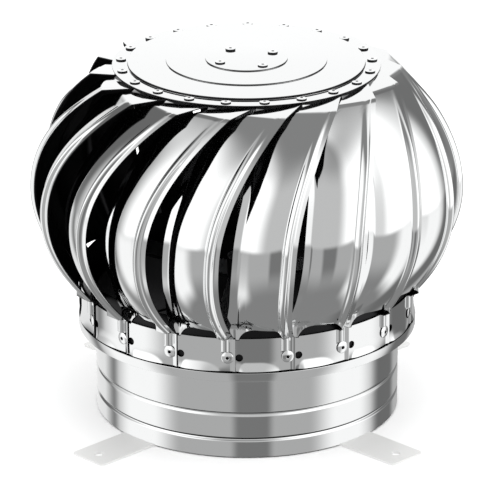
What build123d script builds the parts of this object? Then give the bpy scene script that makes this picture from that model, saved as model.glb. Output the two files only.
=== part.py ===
from build123d import *
import os
from math import asin, cos, radians, sin

# Roof turbine ventilator for a 200 mm round duct: a ball of 18 curved blades turns in the wind on a
# fixed shaft, above a grooved sheet neck with strap feet.
# Millimetres. The origin is on the shaft's axis in the plane that the feet stand on, +Z is up.
# The front is -Y. Angles round the axis are in degrees from the front, growing towards +X.

# Sheets
DUCT_SHEET = 0.8
BLADE_SHEET = 0.7
TAB_SHEET = 0.6
FOOT_SHEET = 1.5
STRAP_SHEET = 2.0
TOUCH = 0.02  # room between sheets of one body that lie on each other

# Neck and its rain gutter
DUCT_R = 100.0
NECK_BOTTOM = FOOT_SHEET
NECK_TOP = 79.5
GROOVES = ((13.0, 1.1), (30.5, 0.7))  # height and depth of the rolled grooves
GROOVE_HALF_WIDTH = 1.7
GUTTER_R = 111.3
GUTTER_BOTTOM = 57.8
GUTTER_LIP = 63.7
GUTTER_WELD_TOP = 66.0

# Feet, four on a bolt circle
FOOT_ANGLES = {
    "foot_front_right": 45,
    "foot_rear_right": 135,
    "foot_rear_left": 225,
    "foot_front_left": 315,
}
FOOT_WIDTH = 28.0
FOOT_END_R = 146.0
FOOT_HOLE_CIRCLE_R = 135.5
FOOT_HOLE_R = 2.9
FOOT_CORNER_R = 2.5
FOOT_LEG_TOP = 10.5

# Shaft and the two cross brackets that hold it in the neck
SHAFT_R = 7.0
SHAFT_BOTTOM = 6.0
JOURNAL_R = 6.0
SHAFT_TOP = 236.4
END_CHAMFER = 1.0
TOP_CHAMFER = 0.5
BRACKET_PLATES = {"lower_bracket": 24.0, "upper_bracket": 52.0}
BRACKET_ARM_WIDTH = 20.0
BRACKET_HUB_R = 22.0
BRACKET_LEG = 8.0
WASHER_R = 14.0
WASHER_T = 2.0
NUT_ACROSS_FLATS = 21.0
NUT_T = 8.0

# Upper ball bearing, 12 x 28 x 8 with 8 balls
RACE_IN_R = 6.0
RACE_OUT_R = 14.0
RACE_W = 8.0
RACE_Z = 225.9
INNER_LAND_R = 8.6
OUTER_LAND_R = 11.4
BALL_PITCH_R = 10.0
BALL_R = 2.38
GROOVE_R = 2.42
BALL_COUNT = 8
SHIELD_T = 0.4
SHIELD_SEAT_R = 11.9
CAGE_T = 0.8
CAGE_W = 5.2
RUNNING_ROOM = 0.06  # between each ball and its pocket
SHIELD_GAP = 0.15
CIRCLIP_T = 1.0
CIRCLIP_BITE = 0.3  # depth of its groove in the shaft
CIRCLIP_SEAT = 0.6  # depth of its groove in the housing
SHAFT_CIRCLIP_W = 2.3
HOUSING_CIRCLIP_W = 2.4

# Band at the ball's lower edge: a plain ring with the blades' tabs riveted round it
BLADE_COUNT = 18
PITCH = 360 / BLADE_COUNT
FIRST_BLADE_ANGLE = -6.5
RING_R = 108.7
RING_SHEET = 0.7
RING_BOTTOM = 60.8
RING_TOP = 84.0
TAB_BOTTOM = 64.7
TAB_TOP = 86.8
LAP_TOP = 85.8
TAB_LAP = 2.6  # degrees of tab beyond its rivet, where two tabs lie on each other
JOGGLE_GAP = 0.3
JOGGLE_WIDTH = 2.0
FINGER_TOP = 96.5
FINGER_OFFSET = 0.2
INNER_TAB_R = RING_R + TOUCH
OUTER_TAB_R = INNER_TAB_R + TAB_SHEET + TOUCH
STUB_R = 2.8
STUB_X = -1.6
STUB_END = 78.3
STUB_RUN_OUT = 0.7  # share of its radius that the lower end is chamfered by
BAND_RIVET_Z = 73.9
BAND_RIVET_R = 2.0
BAND_HEAD_R = 4.0
HOLE_ROOM = 0.05
PILOT_R = 2.5  # open hole in each tab, beside the next blade's lap
PILOT_ANGLE = 3.85  # from the rivet that the lap is under
HEAD_RISE = 0.35  # of a rivet head's radius
TAIL_SPREAD = 1.5  # set tail to shank
DRILL_REACH = 5.0

# Lower spider, which centres the ball on the shaft
SPIDER_ARMS = 3
SPIDER_Z = 88.0
SPIDER_ARM_WIDTH = 22.0
SPIDER_HUB_R = 13.0
SPIDER_HUB_BOTTOM = 84.0
SPIDER_HUB_TOP = 102.0
SPIDER_LEG_BOTTOM = 67.0
BUSH_R = 9.5
BUSH_FLANGE_R = 12.0
BUSH_FLANGE_T = 1.5
BUSH_ROOM = 0.05

# Blade: one pressed section carried along the edge path, which is widest at mid height
WIDEST_Z = 149.5
WIDEST_R = 139.0
WIDEST_X = -1.7
EDGE_LEAN = 0.0765  # sideways run of the edge per millimetre of height
EDGE_SWEEP = 0.00471  # and its growth, above and below the widest place
EDGE_SWEEP_LOW = (0.0013, -2.2e-5)
EDGE_ROUND = (-0.005685, -1.3e-5)  # how the radius falls off above it
EDGE_ROUND_LOW = -0.0073
SECTION_COUNT = 8
PANEL_BOTTOM = 92.5
PANEL_START = 86.0
OPENING_X = (-57.3, -7.3)
OPENING_CORNER = 4.0
TOP_START = 200.0  # above this height the section flattens towards the fold
TOP_TILT = 0.06
TOP_FLATTENING = 0.85
TOP_LEAN = 0.4
FLAT_STRIP = 3.5
BEAD_FOOT = 9.0
BEAD_FOOT_Y = -1.0
BEAD_HEIGHT = 2.6
BEAD_SHOULDER = 0.82  # height of the bead's quarter points, of its own height
BEAD_FULLNESS = 0.35
PANEL_CROWN = 1.7
CROWN_OFFSET = (-0.4, 0.9)  # of the panel's middle from its chord, for a crown of 1
BEND = (-28.5, -9.6)  # from the free edge to the bend between panel and inner slope
SLOPE = (-6.0, -5.2)  # from that bend to the start of the hem
HEM = (-2.5, -1.4)  # from there to the inner free edge
INNER_SHIFT = (0.3, -1.0)  # of the section's inner side, in sheet thicknesses
INNER_BEAD_INSET = 0.8
# outline in plan of what is cut from the inner free edge beside the fold
CUT_BACK = ((-30.0, 60.0), (-30.0, 92.0), (-12.0, 94.1), (4.9, 93.4))
FOLD_RIGHT = (35.2, 94.5, 230.6)
FOLD_LEFT = (11.4, 90.5, 229.2)

# Top: pressed cap, clamp ring under the blade flanges
CAP_SHEET = 0.8
RIM_R = 87.0
RIM_Z = 235.2
CAP_STEPS = ((76.9, 237.0), (52.1, 237.7), (26.6, 238.7))
RIM_RIVET_COUNT = 21
RIM_RIVET_CIRCLE_R = 81.7
RIM_RIVET_ANGLE = 179.4
RIM_RIVET_R = 1.6
RIM_HEAD_R = 3.25
HUB_RIVET_CIRCLE_R = 20.0
HUB_RIVET_ANGLE = 31.5
FLANGE_SEAT_Z = 233.4
FLANGE_RISE = 0.95
FOLD_LEDGE = 0.15  # the flange starts this far inside the panel's outer face
# radius, angles of the left and right edges, and how far each lies under its seat
FLANGE_STATIONS = (
    (87.6, 8.0, 29.2, 1.2, 0.7),
    (86.0, 8.2, 29.8, 0.0, 0.0),
    (80.4, 9.0, 30.3, 0.0, 0.0),
)
CLAMP_IN_R = 77.5
CLAMP_OUT_R = 84.4
CLAMP_SHEET = 0.8

# Upper bearing housing, riveted under the cap
HOUSING_FLANGE_R = 25.8
HOUSING_FLANGE_T = 2.0
HOUSING_CUP_R = 15.5
HOUSING_LIP_R = 12.4
HOUSING_BOTTOM = 223.0


def outward(x, y, z):
    """A point of the front: x to the right, y outwards from the axis, z up."""
    return Vector(x, -y, z)


def at_angle(part, angle):
    """Turns a part from the front to the given angle round the axis."""
    return Rot(0, 0, angle) * part


def polar(radius, angle, z=0.0):
    """The point at a radius and an angle round the axis."""
    return Vector(radius * sin(radians(angle)), -radius * cos(radians(angle)), z)


def turned(points):
    """Revolves a closed outline of (radius, height) points round the axis."""
    outline = make_face(Polyline(*[(r, z) for r, z in points], close=True))
    return revolve(Plane.XZ * outline, axis=Axis.Z)


def tube(outer, inner, bottom, top):
    """A ring of plain rectangular section."""
    return turned([(inner, bottom), (outer, bottom), (outer, top), (inner, top)])


def radial_drill(radius, inner, outer, z):
    """A round bar along the front's outward direction, from one radius to the other."""
    bar = Cylinder(radius, outer - inner, align=(Align.CENTER, Align.CENTER, Align.MIN))
    return Pos(0, -inner, z) * Rot(90, 0, 0) * bar


def smooth(value, start, end):
    """0 below start, 1 above end, and a smooth rise between them."""
    share = min(max((value - start) / (end - start), 0.0), 1.0)
    return share * share * (3 - 2 * share)


# Neck, gutter and feet
def neck_duct():
    """Rolled sheet tube with two grooves rolled inwards."""
    def wall(radius):
        edges = []
        at = NECK_BOTTOM
        for centre, depth in GROOVES:
            low = centre - GROOVE_HALF_WIDTH
            high = centre + GROOVE_HALF_WIDTH
            edges.append(Line((radius, at), (radius, low)))
            edges.append(ThreePointArc((radius, low), (radius - depth, centre), (radius, high)))
            at = high
        edges.append(Line((radius, at), (radius, NECK_TOP)))
        return edges

    inside = DUCT_R - DUCT_SHEET
    ends = [
        Line((inside, NECK_BOTTOM), (DUCT_R, NECK_BOTTOM)),
        Line((inside, NECK_TOP), (DUCT_R, NECK_TOP)),
    ]
    return revolve(Plane.XZ * make_face(wall(DUCT_R) + wall(inside) + ends), axis=Axis.Z)


def collar_ring():
    """Gutter welded round the neck; the band's lower edge turns inside it and sheds the rain."""
    weld_r = DUCT_R + DUCT_SHEET
    return turned([
        (DUCT_R, GUTTER_BOTTOM),
        (GUTTER_R, GUTTER_BOTTOM),
        (GUTTER_R, GUTTER_LIP),
        (GUTTER_R - DUCT_SHEET, GUTTER_LIP),
        (GUTTER_R - DUCT_SHEET, GUTTER_BOTTOM + DUCT_SHEET),
        (weld_r, GUTTER_BOTTOM + DUCT_SHEET),
        (weld_r, GUTTER_WELD_TOP),
        (DUCT_R, GUTTER_WELD_TOP),
    ])


def foot():
    """Strap under the neck's edge, with a leg turned up inside the neck and a screw hole outside."""
    inside_r = DUCT_R - DUCT_SHEET - TOUCH
    leg_r = inside_r - FOOT_SHEET
    strap_length = FOOT_END_R - leg_r
    strap = Pos(0, -leg_r - strap_length / 2, FOOT_SHEET / 2) * Box(
        FOOT_WIDTH, strap_length, FOOT_SHEET
    )
    corners = strap.edges().filter_by(Axis.Z).sort_by(Axis.Y)[:2]
    strap = fillet(corners, FOOT_CORNER_R)
    leg = tube(inside_r, leg_r, 0, FOOT_LEG_TOP) & (
        Pos(0, -DUCT_R, FOOT_LEG_TOP / 2) * Box(FOOT_WIDTH, DUCT_R, FOOT_LEG_TOP)
    )
    hole = Pos(0, -FOOT_HOLE_CIRCLE_R, 0) * Cylinder(FOOT_HOLE_R, 4 * FOOT_SHEET)
    inner_trim = Cylinder(leg_r, 4 * FOOT_SHEET)
    return strap + leg - hole - inner_trim


# Shaft and what holds it
def cross_bracket(plate_z):
    """Four-armed pressed cross; each arm ends in a leg that is spot welded inside the neck."""
    wall_r = DUCT_R - DUCT_SHEET - TOUCH
    arm = Pos(0, -wall_r / 2, plate_z + STRAP_SHEET / 2) * Box(
        BRACKET_ARM_WIDTH, wall_r, STRAP_SHEET
    )
    leg_height = BRACKET_LEG + STRAP_SHEET
    leg = Pos(0, -wall_r, plate_z + STRAP_SHEET - leg_height / 2) * Box(
        BRACKET_ARM_WIDTH, 2 * BRACKET_ARM_WIDTH, leg_height
    )
    leg = leg & tube(wall_r, wall_r - STRAP_SHEET, 0, NECK_TOP)
    arm = (arm & Cylinder(wall_r, 4 * NECK_TOP)) + leg
    cross = tube(BRACKET_HUB_R, SHAFT_R, plate_z, plate_z + STRAP_SHEET)
    for quarter in range(4):
        cross += at_angle(arm, 90 * quarter)
    return cross - Cylinder(SHAFT_R + HOLE_ROOM, 4 * NECK_TOP)


def shaft():
    """Fixed shaft, stepped for the upper bearing, with a circlip groove above it."""
    race_top = RACE_Z + RACE_W
    groove_r = JOURNAL_R - CIRCLIP_BITE
    return turned([
        (0, SHAFT_BOTTOM),
        (SHAFT_R - END_CHAMFER, SHAFT_BOTTOM),
        (SHAFT_R, SHAFT_BOTTOM + END_CHAMFER),
        (SHAFT_R, RACE_Z),
        (JOURNAL_R, RACE_Z),
        (JOURNAL_R, race_top),
        (groove_r, race_top),
        (groove_r, race_top + CIRCLIP_T),
        (JOURNAL_R, race_top + CIRCLIP_T),
        (JOURNAL_R, SHAFT_TOP - TOP_CHAMFER),
        (JOURNAL_R - TOP_CHAMFER, SHAFT_TOP),
        (0, SHAFT_TOP),
    ])


def nut_and_washer_heights():
    """Washer and nut bottoms, under and over each bracket plate."""
    washers = []
    nuts = []
    for plate_z in BRACKET_PLATES.values():
        over = plate_z + STRAP_SHEET
        washers += [plate_z - WASHER_T, over]
        nuts += [plate_z - WASHER_T - NUT_T, over + WASHER_T]
    return washers, nuts


def washers():
    """Plain washers against the bracket plates."""
    heights, _ = nut_and_washer_heights()
    return [tube(WASHER_R, SHAFT_R + HOLE_ROOM, z, z + WASHER_T) for z in heights]


def nuts():
    """Hexagon nuts that lock the shaft to the brackets, plain bores in place of threads."""
    _, heights = nut_and_washer_heights()
    hexagon = RegularPolygon(NUT_ACROSS_FLATS / 2, 6, major_radius=False)
    blank = extrude(hexagon - Circle(SHAFT_R + HOLE_ROOM), NUT_T)
    return [Pos(0, 0, z) * blank for z in heights]


# Upper ball bearing
def bearing_groove():
    """The round track that the balls run in."""
    return Pos(0, 0, RACE_Z + RACE_W / 2) * Torus(BALL_PITCH_R, GROOVE_R)


def inner_race():
    """Fixed race on the shaft's journal."""
    return tube(INNER_LAND_R, RACE_IN_R, RACE_Z, RACE_Z + RACE_W) - bearing_groove()


def outer_race():
    """Race that turns with the housing, stepped at both faces for the shields."""
    top = RACE_Z + RACE_W
    ring = turned([
        (SHIELD_SEAT_R, RACE_Z),
        (RACE_OUT_R, RACE_Z),
        (RACE_OUT_R, top),
        (SHIELD_SEAT_R, top),
        (SHIELD_SEAT_R, top - SHIELD_T),
        (OUTER_LAND_R, top - SHIELD_T),
        (OUTER_LAND_R, RACE_Z + SHIELD_T),
        (SHIELD_SEAT_R, RACE_Z + SHIELD_T),
    ])
    return ring - bearing_groove()


def shields():
    """Thin discs that close the bearing, fast in the outer race."""
    inner = INNER_LAND_R + SHIELD_GAP
    bottoms = (RACE_Z, RACE_Z + RACE_W - SHIELD_T)
    return [tube(SHIELD_SEAT_R, inner, z, z + SHIELD_T) for z in bottoms]


def balls():
    """The ring of balls between the races."""
    ball = Pos(0, -BALL_PITCH_R, RACE_Z + RACE_W / 2) * Sphere(BALL_R)
    return [at_angle(ball, 360 / BALL_COUNT * k) for k in range(BALL_COUNT)]


def cage():
    """Thin ring with a pocket round each ball."""
    middle = RACE_Z + RACE_W / 2
    outer = BALL_PITCH_R + CAGE_T / 2
    ring = tube(outer, outer - CAGE_T, middle - CAGE_W / 2, middle + CAGE_W / 2)
    pocket = radial_drill(BALL_R + RUNNING_ROOM, INNER_LAND_R, OUTER_LAND_R, middle)
    for k in range(BALL_COUNT):
        ring -= at_angle(pocket, 360 / BALL_COUNT * k)
    return ring


def circlip(inner, outer, bottom):
    """Open retaining ring with a gap at the back."""
    ring = tube(outer, inner, bottom, bottom + CIRCLIP_T)
    gap = Pos(0, outer, bottom) * Box(inner / 2, outer, 4 * CIRCLIP_T)
    return ring - gap


def shaft_circlip():
    """Holds the inner race down on the shaft's shoulder."""
    inner = JOURNAL_R - CIRCLIP_BITE
    return circlip(inner, inner + SHAFT_CIRCLIP_W, RACE_Z + RACE_W)


def housing_circlip():
    """Holds the outer race up in the housing."""
    outer = RACE_OUT_R + CIRCLIP_SEAT
    return circlip(outer - HOUSING_CIRCLIP_W, outer, RACE_Z - CIRCLIP_T)


def bearing_housing():
    """Flanged cup under the cap's centre, bored for the outer race, with a circlip groove."""
    under_cap = CAP_STEPS[-1][1] - CAP_SHEET
    race_top = RACE_Z + RACE_W
    groove_r = RACE_OUT_R + CIRCLIP_SEAT
    cup = turned([
        (HOUSING_LIP_R, under_cap),
        (HOUSING_LIP_R, race_top),
        (RACE_OUT_R, race_top),
        (RACE_OUT_R, RACE_Z),
        (groove_r, RACE_Z),
        (groove_r, RACE_Z - CIRCLIP_T),
        (RACE_OUT_R, RACE_Z - CIRCLIP_T),
        (RACE_OUT_R, HOUSING_BOTTOM),
        (HOUSING_CUP_R, HOUSING_BOTTOM),
        (HOUSING_CUP_R, under_cap - HOUSING_FLANGE_T),
        (HOUSING_FLANGE_R, under_cap - HOUSING_FLANGE_T),
        (HOUSING_FLANGE_R, under_cap),
    ])
    return cup - hub_drill()


# Rivets
def rivet(shank_r, head_r, grip):
    """Blind rivet standing on its head's seat at z 0: domed head above, shank and set tail below."""
    tail_r = TAIL_SPREAD * shank_r
    rise = HEAD_RISE * head_r
    dome_r = (head_r**2 + rise**2) / (2 * rise)
    half_way = asin(head_r / dome_r) / 2
    on_dome = (dome_r * sin(half_way), rise - dome_r * (1 - cos(half_way)))
    outline = [
        Line((0, rise), (0, -grip - shank_r)),
        Line((0, -grip - shank_r), (tail_r, -grip)),
        Line((tail_r, -grip), (shank_r, -grip)),
        Line((shank_r, -grip), (shank_r, 0)),
        Line((shank_r, 0), (head_r, 0)),
        ThreePointArc((head_r, 0), on_dome, (0, rise)),
    ]
    return revolve(Plane.XZ * make_face(outline), axis=Axis.Z)


def rim_rivet_places():
    """Where the rivets of the cap's rim stand."""
    step = 360 / RIM_RIVET_COUNT
    angles = [RIM_RIVET_ANGLE - step * k for k in range(RIM_RIVET_COUNT)]
    return [polar(RIM_RIVET_CIRCLE_R, angle, RIM_Z) for angle in angles]


def rim_rivets():
    """Rivets through the rim, the blade flanges and the clamp ring."""
    grip = RIM_Z - (clamp_top() - CLAMP_SHEET)
    one = rivet(RIM_RIVET_R, RIM_HEAD_R, grip)
    return [Pos(*place) * one for place in rim_rivet_places()]


def rim_drill():
    """All the holes of the rim rivets, as bars to cut away."""
    bar = Cylinder(RIM_RIVET_R + HOLE_ROOM, 2 * DRILL_REACH)
    return [Pos(*place) * bar for place in rim_rivet_places()]


def hub_rivet_places():
    """Where the four rivets of the bearing housing stand on the cap."""
    angles = [HUB_RIVET_ANGLE + 90 * k for k in range(4)]
    return [polar(HUB_RIVET_CIRCLE_R, angle, CAP_STEPS[-1][1]) for angle in angles]


def hub_rivets():
    """Four rivets that hold the bearing housing under the cap."""
    one = rivet(RIM_RIVET_R, RIM_HEAD_R, CAP_SHEET + HOUSING_FLANGE_T)
    return [Pos(*place) * one for place in hub_rivet_places()]


def hub_drill():
    """All the holes of the hub rivets, as bars to cut away."""
    bar = Cylinder(RIM_RIVET_R + HOLE_ROOM, 2 * DRILL_REACH)
    return [Pos(*place) * bar for place in hub_rivet_places()]


def blade_angle(number):
    """Angle of a blade's own rivet on the band."""
    return FIRST_BLADE_ANGLE + PITCH * number


def on_spider_arm(number):
    """Whether the blade's rivet also goes through an arm of the lower spider."""
    return number % (BLADE_COUNT // SPIDER_ARMS) == 0


def band_rivets():
    """One rivet per blade, through two lapped tabs and the band ring; three also hold spider arms."""
    seat_r = OUTER_TAB_R + TAB_SHEET
    # the sheets' inner face is curved, so the tails stand a little off it
    grip = seat_r - (RING_R - RING_SHEET) + 3 * TOUCH
    seat = Pos(0, -seat_r, BAND_RIVET_Z) * Rot(90, 0, 0)
    rivets = []
    for number in range(BLADE_COUNT):
        arm = STRAP_SHEET if on_spider_arm(number) else 0
        one = seat * rivet(BAND_RIVET_R, BAND_HEAD_R, grip + arm)
        rivets.append(at_angle(one, blade_angle(number)))
    return rivets


def band_drill():
    """The hole of a band rivet at the front, as a bar to cut away."""
    reach = (RING_R - DRILL_REACH, RING_R + DRILL_REACH)
    return radial_drill(BAND_RIVET_R + HOLE_ROOM, *reach, BAND_RIVET_Z)


# Blades
def edge_point(z):
    """The blade's free edge at a height, as (x, y outwards) in the frame of its band rivet."""
    rise = z - WIDEST_Z
    if rise > 0:
        x = EDGE_SWEEP * rise**2
        y = EDGE_ROUND[0] * rise**2 + EDGE_ROUND[1] * rise**3
    else:
        x = EDGE_SWEEP_LOW[0] * rise**2 + EDGE_SWEEP_LOW[1] * rise**3
        y = EDGE_ROUND_LOW * rise**2
    return WIDEST_X + EDGE_LEAN * rise + x, WIDEST_R + y


def sheet_section(edge, tilt, swell, lean):
    """Closed wire of the pressed section: flat strip, half-round bead, crowned panel, slope and hem.

    edge is the free edge's point (x, y, z); tilt raises the section to the right; swell scales the
    bead and the panel's crown, and lean the section's depth towards the axis.
    """
    def side(step_x, step_y, bead_inset):
        def at(x, y):
            x = x + step_x
            return outward(edge[0] + x, edge[1] + lean * y + step_y, edge[2] + tilt * x)

        right = -FLAT_STRIP - bead_inset
        left = -BEAD_FOOT + bead_inset
        middle = (left + right) / 2
        rise = BEAD_HEIGHT * swell
        shoulder = BEAD_SHOULDER * rise
        right_shoulder = at((right + middle) / 2 - BEAD_FULLNESS, shoulder)
        left_shoulder = at((middle + left) / 2 + BEAD_FULLNESS, shoulder + BEAD_FOOT_Y / 5)
        crown = PANEL_CROWN * swell
        panel_middle = at(
            (left + BEND[0]) / 2 + CROWN_OFFSET[0] * crown,
            (BEAD_FOOT_Y + BEND[1]) / 2 + CROWN_OFFSET[1] * crown,
        )
        slope_end = (BEND[0] + SLOPE[0], BEND[1] + SLOPE[1])
        lip = (slope_end[0] + HEM[0], slope_end[1] + HEM[1])
        return [
            Edge.make_line(at(0, 0), at(right, 0)),
            Edge.make_three_point_arc(at(right, 0), right_shoulder, at(middle, rise)),
            Edge.make_three_point_arc(at(middle, rise), left_shoulder, at(left, BEAD_FOOT_Y)),
            Edge.make_three_point_arc(at(left, BEAD_FOOT_Y), panel_middle, at(*BEND)),
            Edge.make_line(at(*BEND), at(*slope_end)),
            Edge.make_line(at(*slope_end), at(*lip)),
        ]

    outer = side(0, 0, 0)
    inner = side(*[BLADE_SHEET * share for share in (*INNER_SHIFT, INNER_BEAD_INSET)])
    free_edge = Edge.make_line(outer[0] @ 0, inner[0] @ 0)
    inner_edge = Edge.make_line(outer[-1] @ 1, inner[-1] @ 1)
    return Wire(outer + inner + [free_edge, inner_edge])


def blade_panel():
    """The pressed section lofted from the band to the fold under the cap, untrimmed."""
    sections = []
    fold_z = FOLD_RIGHT[2]
    for k in range(SECTION_COUNT):
        z = PANEL_START + (fold_z - PANEL_START) * k / (SECTION_COUNT - 1)
        near_top = smooth(z, TOP_START, fold_z)
        tilt = TOP_TILT * near_top
        swell = 1 - TOP_FLATTENING * near_top
        lean = 1 - TOP_LEAN * near_top
        sections.append(sheet_section((*edge_point(z), z), tilt, swell, lean))
    return Part() + Solid.make_loft(sections)


def flange():
    """Flat tab folded in under the cap's rim: rises to the rim, then lies level to be riveted."""
    fold = [Vector(x, y - FOLD_LEDGE, z) for x, y, z in (FOLD_LEFT, FOLD_RIGHT)]
    stations = [fold]
    for radius, left_angle, right_angle, left_drop, right_drop in FLANGE_STATIONS:
        left = polar(radius, left_angle, FLANGE_SEAT_Z - left_drop)
        right = polar(radius, right_angle, FLANGE_SEAT_Z + FLANGE_RISE - right_drop)
        stations.append([Vector(left.X, -left.Y, left.Z), Vector(right.X, -right.Y, right.Z)])
    tab = Part()
    down = Vector(0, 0, -BLADE_SHEET)
    for near, far in zip(stations, stations[1:]):
        wires = [
            Wire.make_polygon([outward(*p) for p in (a, b, b + down, a + down)], close=True)
            for a, b in (near, far)
        ]
        tab += Solid.make_loft(wires, ruled=True)
    return tab


def tab_layer(radius, start, end, bottom, top):
    """A ring sector of tab sheet between two angles."""
    outline = [
        CenterArc((0, 0), radius, start - 90, end - start),
        CenterArc((0, 0), radius + TAB_SHEET, start - 90, end - start),
        Line(polar(radius, start), polar(radius + TAB_SHEET, start)),
        Line(polar(radius, end), polar(radius + TAB_SHEET, end)),
    ]
    return Pos(0, 0, bottom) * extrude(make_face(outline), top - bottom)


def blade_tab():
    """The blade's foot on the band: joggled so that it laps over the next tab on its left."""
    lap_start = -PITCH - TAB_LAP
    joggle_start = -PITCH + TAB_LAP + JOGGLE_GAP
    joggle_end = joggle_start + JOGGLE_WIDTH
    lap = tab_layer(INNER_TAB_R, lap_start, joggle_start, TAB_BOTTOM, LAP_TOP)
    face = tab_layer(OUTER_TAB_R, joggle_end, TAB_LAP, TAB_BOTTOM, TAB_TOP)
    joggle_outline = Polyline(
        polar(INNER_TAB_R, joggle_start),
        polar(INNER_TAB_R + TAB_SHEET, joggle_start),
        polar(OUTER_TAB_R + TAB_SHEET, joggle_end),
        polar(OUTER_TAB_R, joggle_end),
        close=True,
    )
    joggle = Pos(0, 0, TAB_BOTTOM) * extrude(make_face(joggle_outline), TAB_TOP - TAB_BOTTOM)
    # narrow neck of sheet left of the opening, between the tab and the panel
    finger_r = INNER_TAB_R + FINGER_OFFSET
    finger = tab_layer(finger_r, joggle_start, joggle_end, TAB_TOP - 2, FINGER_TOP)
    tab = lap + joggle + face + finger
    # the bead runs out on the tab as a short raised stub above the rivet
    stub = Pos(STUB_X, -OUTER_TAB_R, STUB_END) * Cylinder(
        STUB_R, TAB_TOP - STUB_END, align=(Align.CENTER, Align.CENTER, Align.MIN)
    )
    stub = chamfer(stub.faces().sort_by(Axis.Z)[0].edges(), STUB_RUN_OUT * STUB_R)
    stub -= Cylinder(OUTER_TAB_R + TAB_SHEET / 2, 4 * TAB_TOP)
    drill = band_drill()
    pilot = radial_drill(PILOT_R, RING_R - DRILL_REACH, RING_R + DRILL_REACH, BAND_RIVET_Z)
    return tab + stub - drill - at_angle(drill, -PITCH) - at_angle(pilot, PILOT_ANGLE - PITCH)


def blade():
    """One blade at the front: panel from the band to the fold, flange on top, tab at the foot."""
    # the panel's lower edge is free, so air and light pass between it and the band
    left, right = OPENING_X
    opening = Pos((left + right) / 2, -DUCT_R, PANEL_BOTTOM / 2) * Box(
        right - left, DUCT_R, PANEL_BOTTOM
    )
    corner = opening.edges().filter_by(Axis.Y).group_by(Axis.X)[-1].sort_by(Axis.Z)[-1]
    opening = fillet(corner, OPENING_CORNER)
    # the inner free edge is cut back beside the fold, clear of the cap's rim
    outline = [*CUT_BACK, FOLD_LEFT[:2], (FOLD_LEFT[0], CUT_BACK[0][1])]
    plan = make_face(Polyline(*[(x, -y) for x, y in outline], close=True))
    cut_back = Pos(0, 0, TOP_START) * extrude(plan, SHAFT_TOP - TOP_START)
    return blade_panel() - opening - cut_back + flange() + blade_tab()


# Band ring and lower spider
def band_ring():
    """Rolled ring that the tabs are riveted to."""
    ring = tube(RING_R, RING_R - RING_SHEET, RING_BOTTOM, RING_TOP)
    return ring - [at_angle(band_drill(), blade_angle(number)) for number in range(BLADE_COUNT)]


def lower_spider():
    """Three-armed pressed spider with a sleeve for the guide bush; its legs are riveted to the band."""
    end_r = RING_R - RING_SHEET - TOUCH
    plate_top = SPIDER_Z + STRAP_SHEET
    arm = Pos(0, -end_r / 2, SPIDER_Z + STRAP_SHEET / 2) * Box(
        SPIDER_ARM_WIDTH, end_r, STRAP_SHEET
    )
    leg_height = plate_top - SPIDER_LEG_BOTTOM
    leg = Pos(0, -end_r, plate_top - leg_height / 2) * Box(
        SPIDER_ARM_WIDTH, SPIDER_ARM_WIDTH, leg_height
    )
    leg = leg & tube(end_r, end_r - STRAP_SHEET, 0, plate_top)
    arm = (arm & Cylinder(end_r, 4 * plate_top)) + leg
    spider = tube(SPIDER_HUB_R, BUSH_R, SPIDER_HUB_BOTTOM, SPIDER_HUB_TOP)
    for number in range(BLADE_COUNT):
        if on_spider_arm(number):
            spider += at_angle(arm - band_drill(), blade_angle(number))
    return spider - Cylinder(BUSH_R, 4 * plate_top)


def lower_bush():
    """Flanged plastic bush in the spider's sleeve; it turns on the fixed shaft."""
    bore = SHAFT_R + BUSH_ROOM
    return turned([
        (bore, SPIDER_HUB_BOTTOM - BUSH_FLANGE_T),
        (BUSH_FLANGE_R, SPIDER_HUB_BOTTOM - BUSH_FLANGE_T),
        (BUSH_FLANGE_R, SPIDER_HUB_BOTTOM),
        (BUSH_R, SPIDER_HUB_BOTTOM),
        (BUSH_R, SPIDER_HUB_TOP),
        (bore, SPIDER_HUB_TOP),
    ])


# Top
def top_cap():
    """Pressed cap with three round steps, holed for the rim and hub rivets."""
    upper = [(RIM_R, RIM_Z)]
    lower = [(RIM_R, RIM_Z - CAP_SHEET)]
    z = RIM_Z
    for radius, step_z in CAP_STEPS:
        upper += [(radius, z), (radius, step_z)]
        lower += [(radius - CAP_SHEET, z - CAP_SHEET), (radius - CAP_SHEET, step_z - CAP_SHEET)]
        z = step_z
    upper.append((0, z))
    lower.append((0, z - CAP_SHEET))
    cap = turned(upper + lower[::-1])
    return cap - rim_drill() - hub_drill()


def clamp_top():
    """Height of the clamp ring's upper face, against the flanges' undersides."""
    return FLANGE_SEAT_Z - BLADE_SHEET - TOUCH


def clamp_ring():
    """Flat ring under the blade flanges."""
    top = clamp_top()
    return tube(CLAMP_OUT_R, CLAMP_IN_R, top - CLAMP_SHEET, top) - rim_drill()


def write(name, shape):
    """Writes one node; a list of solids becomes one node of separate solids."""
    if isinstance(shape, list):
        solids = [solid for item in shape for solid in item.solids()]
        shape = Compound(children=solids)
    export_step(shape, f"parts/{name}.step")


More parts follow.
